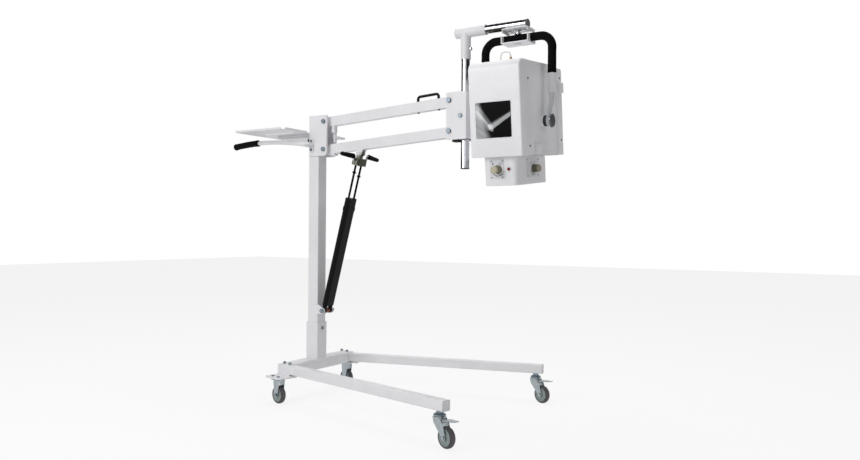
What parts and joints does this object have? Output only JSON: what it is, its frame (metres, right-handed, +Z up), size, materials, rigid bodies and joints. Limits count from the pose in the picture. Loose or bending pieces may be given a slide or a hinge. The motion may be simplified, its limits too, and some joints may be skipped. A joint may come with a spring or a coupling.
{
  "type": "portable x-ray machine",
  "caption": "Portable x-ray machine: box head in a tilting yoke on a gas-sprung lifting arm, with column, push handle, tray and splayed legs on casters.",
  "frame": {"origin": "the column's axis where it meets the floor, with the four wheels on z = 0", "axes": "+X forward along the legs and arms to the x-ray head, +Y to the operator's left when facing forward, +Z up"},
  "size_m": [1.6754, 0.9385, 1.6455],
  "materials": {
    "white_paint": "satin",
    "chrome": "polished",
    "zinc_steel": "satin",
    "tyre": "matte",
    "black_rubber": "matte",
    "black_plastic": "matte",
    "black_paint": "satin",
    "white_plastic": "satin",
    "grey_plastic": "matte",
    "brown_plastic": "matte",
    "knob_plastic": "satin",
    "red_plastic": "gloss",
    "printed_panel": "satin",
    "clear_window": "gloss",
    "aluminium": "satin"
  },
  "bodies": {
    "base": {"cross_beam": "white_paint", "front_legs": "white_paint", "tube_end_caps": "white_plastic", "column_sleeve": "white_paint", "column_tube": "white_paint", "column_head_plates": "white_paint", "frame_bolts": "zinc_steel", "caster_plates": "white_paint", "rear_forks": "zinc_steel", "spring_bushes": "brown_plastic", "push_handle": "white_paint", "push_grip": "black_rubber", "laptop_tray": "white_paint", "tray_bracket": "white_paint"},
    "right_rear_wheel": {"right_rear_wheel": "tyre"},
    "left_rear_wheel": {"left_rear_wheel": "tyre"},
    "right_front_caster": {"right_front_fork": "zinc_steel"},
    "left_front_caster": {"left_front_fork": "zinc_steel"},
    "right_front_pedal": {"right_front_pedal": "zinc_steel"},
    "left_front_pedal": {"left_front_pedal": "zinc_steel"},
    "right_front_wheel": {"right_front_wheel": "tyre"},
    "left_front_wheel": {"left_front_wheel": "tyre"},
    "upper_arm": {"upper_arm": "white_paint", "carry_handle": "black_plastic", "lock_housing": "white_paint"},
    "lock_plunger": {"lock_plunger": "zinc_steel"},
    "lower_arm": {"lower_arm": "white_paint"},
    "end_bracket": {"end_plates": "white_paint", "mast_guide": "white_paint", "bracket_bolts": "zinc_steel"},
    "mast": {"mast": "chrome", "tee_fitting": "white_paint", "boom": "chrome", "mast_end_caps": "grey_plastic", "mast_fasteners": "zinc_steel", "upper_bracket": "white_paint"},
    "yoke": {"yoke_tube": "chrome", "yoke_foam": "black_rubber", "yoke_arms": "white_paint", "lower_bracket": "white_paint", "yoke_bolts": "zinc_steel"},
    "head": {"head_front_shell": "white_plastic", "head_rear_shell": "white_plastic", "back_panel": "white_plastic", "generator_tank": "aluminium", "picture_panel": "printed_panel", "cord_hooks": "white_plastic", "cord_loop": "black_rubber", "head_screws": "zinc_steel", "collimator_housing": "white_paint", "knob_plates": "aluminium", "beam_window": "clear_window"},
    "front_knob": {"front_knob": "knob_plastic"},
    "side_knob": {"side_knob": "knob_plastic"},
    "lamp_button": {"lamp_button": "red_plastic"},
    "gas_cylinders": {"gas_cylinders": "black_paint"},
    "gas_rods": {"gas_rods": "black_paint", "release_head": "zinc_steel"},
    "release_lever": {"release_levers": "chrome", "release_grips": "black_rubber"}
  },
  "joints": [
    {"name": "right_rear_roll", "type": "hinge", "parent": "base", "child": "right_rear_wheel", "pos_m": [-0.0115, -0.24377, 0.04], "axis": [0.2351, 0.972, 0], "continuous": true},
    {"name": "left_rear_roll", "type": "hinge", "parent": "base", "child": "left_rear_wheel", "pos_m": [-0.0115, 0.25223, 0.04], "axis": [0.2351, 0.972, 0], "continuous": true},
    {"name": "right_caster_swivel", "type": "hinge", "parent": "base", "child": "right_front_caster", "pos_m": [0.9458, -0.43383, 0.1], "axis": [0, 0, 1], "continuous": true},
    {"name": "left_caster_swivel", "type": "hinge", "parent": "base", "child": "left_front_caster", "pos_m": [0.9458, 0.43383, 0.1], "axis": [0, 0, 1], "continuous": true},
    {"name": "right_front_roll", "type": "hinge", "parent": "right_front_caster", "child": "right_front_wheel", "pos_m": [0.98338, -0.44751, 0.04], "axis": [0.342, 0.9397, 0], "continuous": true},
    {"name": "left_front_roll", "type": "hinge", "parent": "left_front_caster", "child": "left_front_wheel", "pos_m": [0.98338, 0.42015, 0.04], "axis": [0.342, 0.9397, 0], "continuous": true},
    {"name": "right_brake", "type": "hinge", "parent": "right_front_caster", "child": "right_front_pedal", "pos_m": [0.97023, -0.44272, 0.0965], "axis": [0.342, 0.9397, 0], "range_deg": [0, 6]},
    {"name": "left_brake", "type": "hinge", "parent": "left_front_caster", "child": "left_front_pedal", "pos_m": [0.97023, 0.42494, 0.0965], "axis": [0.342, 0.9397, 0], "range_deg": [0, 6]},
    {"name": "arm_lift", "type": "hinge", "parent": "base", "child": "upper_arm", "pos_m": [0.0645, 0, 1.295], "axis": [0, -1, 0], "range_deg": [-18, 15]},
    {"name": "lower_arm_lift", "type": "hinge", "parent": "base", "child": "lower_arm", "pos_m": [0.0645, 0, 1.165], "axis": [0, -1, 0], "range_deg": [-18, 15]},
    {"name": "bracket_level", "type": "hinge", "parent": "upper_arm", "child": "end_bracket", "pos_m": [0.74929, 0, 1.33568], "axis": [0, -1, 0], "range_deg": [-15, 18]},
    {"name": "arm_lock", "type": "slide", "parent": "upper_arm", "child": "lock_plunger", "axis": [-0.0593, 0, 0.9982], "range_m": [0, 0.009], "stiffness_N_per_m": 400, "springref_m": -0.004},
    {"name": "mast_height", "type": "slide", "parent": "end_bracket", "child": "mast", "axis": [0, 0, 1], "range_m": [-0.13, 0.1]},
    {"name": "yoke_swivel", "type": "hinge", "parent": "mast", "child": "yoke", "pos_m": [1.04599, 0, 1.56698], "axis": [0, 0, 1], "range_deg": [-40, 40]},
    {"name": "head_tilt", "type": "hinge", "parent": "yoke", "child": "head", "pos_m": [1.04599, 0, 1.22498], "axis": [1, 0, 0], "range_deg": [-50, 50]},
    {"name": "front_blade_knob", "type": "hinge", "parent": "head", "child": "front_knob", "pos_m": [1.03799, -0.15978, 1.02318], "axis": [0, -0.9945, -0.1045], "range_deg": [-135, 135]},
    {"name": "side_blade_knob", "type": "hinge", "parent": "head", "child": "side_knob", "pos_m": [1.11899, -0.00542, 1.03739], "axis": [1, 0, 0], "range_deg": [-135, 135]},
    {"name": "lamp_press", "type": "slide", "parent": "head", "child": "lamp_button", "axis": [0, 0.9945, 0.1045], "range_m": [0, 0.003], "stiffness_N_per_m": 300, "springref_m": -0.002},
    {"name": "spring_swing", "type": "hinge", "parent": "base", "child": "gas_cylinders", "pos_m": [0.0615, 0, 0.404], "axis": [0, 1, 0], "range_deg": [-0.4, 0.5]},
    {"name": "spring_stroke", "type": "slide", "parent": "gas_cylinders", "child": "gas_rods", "axis": [0.2572, 0, 0.9664], "range_m": [-0.0605, 0.0505]},
    {"name": "release_squeeze", "type": "hinge", "parent": "gas_rods", "child": "release_lever", "pos_m": [0.24857, 0, 1.107], "axis": [0, 1, 0], "range_deg": [0, 12], "stiffness_Nm_per_rad": 0.6, "springref_deg": -8.59}
  ],
  "couplings": [
    {"joint": "lower_arm_lift", "follows": "arm_lift", "ratio": 1},
    {"joint": "bracket_level", "follows": "arm_lift", "ratio": -1},
    {"joint": "spring_swing", "follows": "arm_lift", "ratio": -0.0215},
    {"joint": "spring_stroke", "follows": "arm_lift", "m_per_rad": 0.1908}
  ]
}
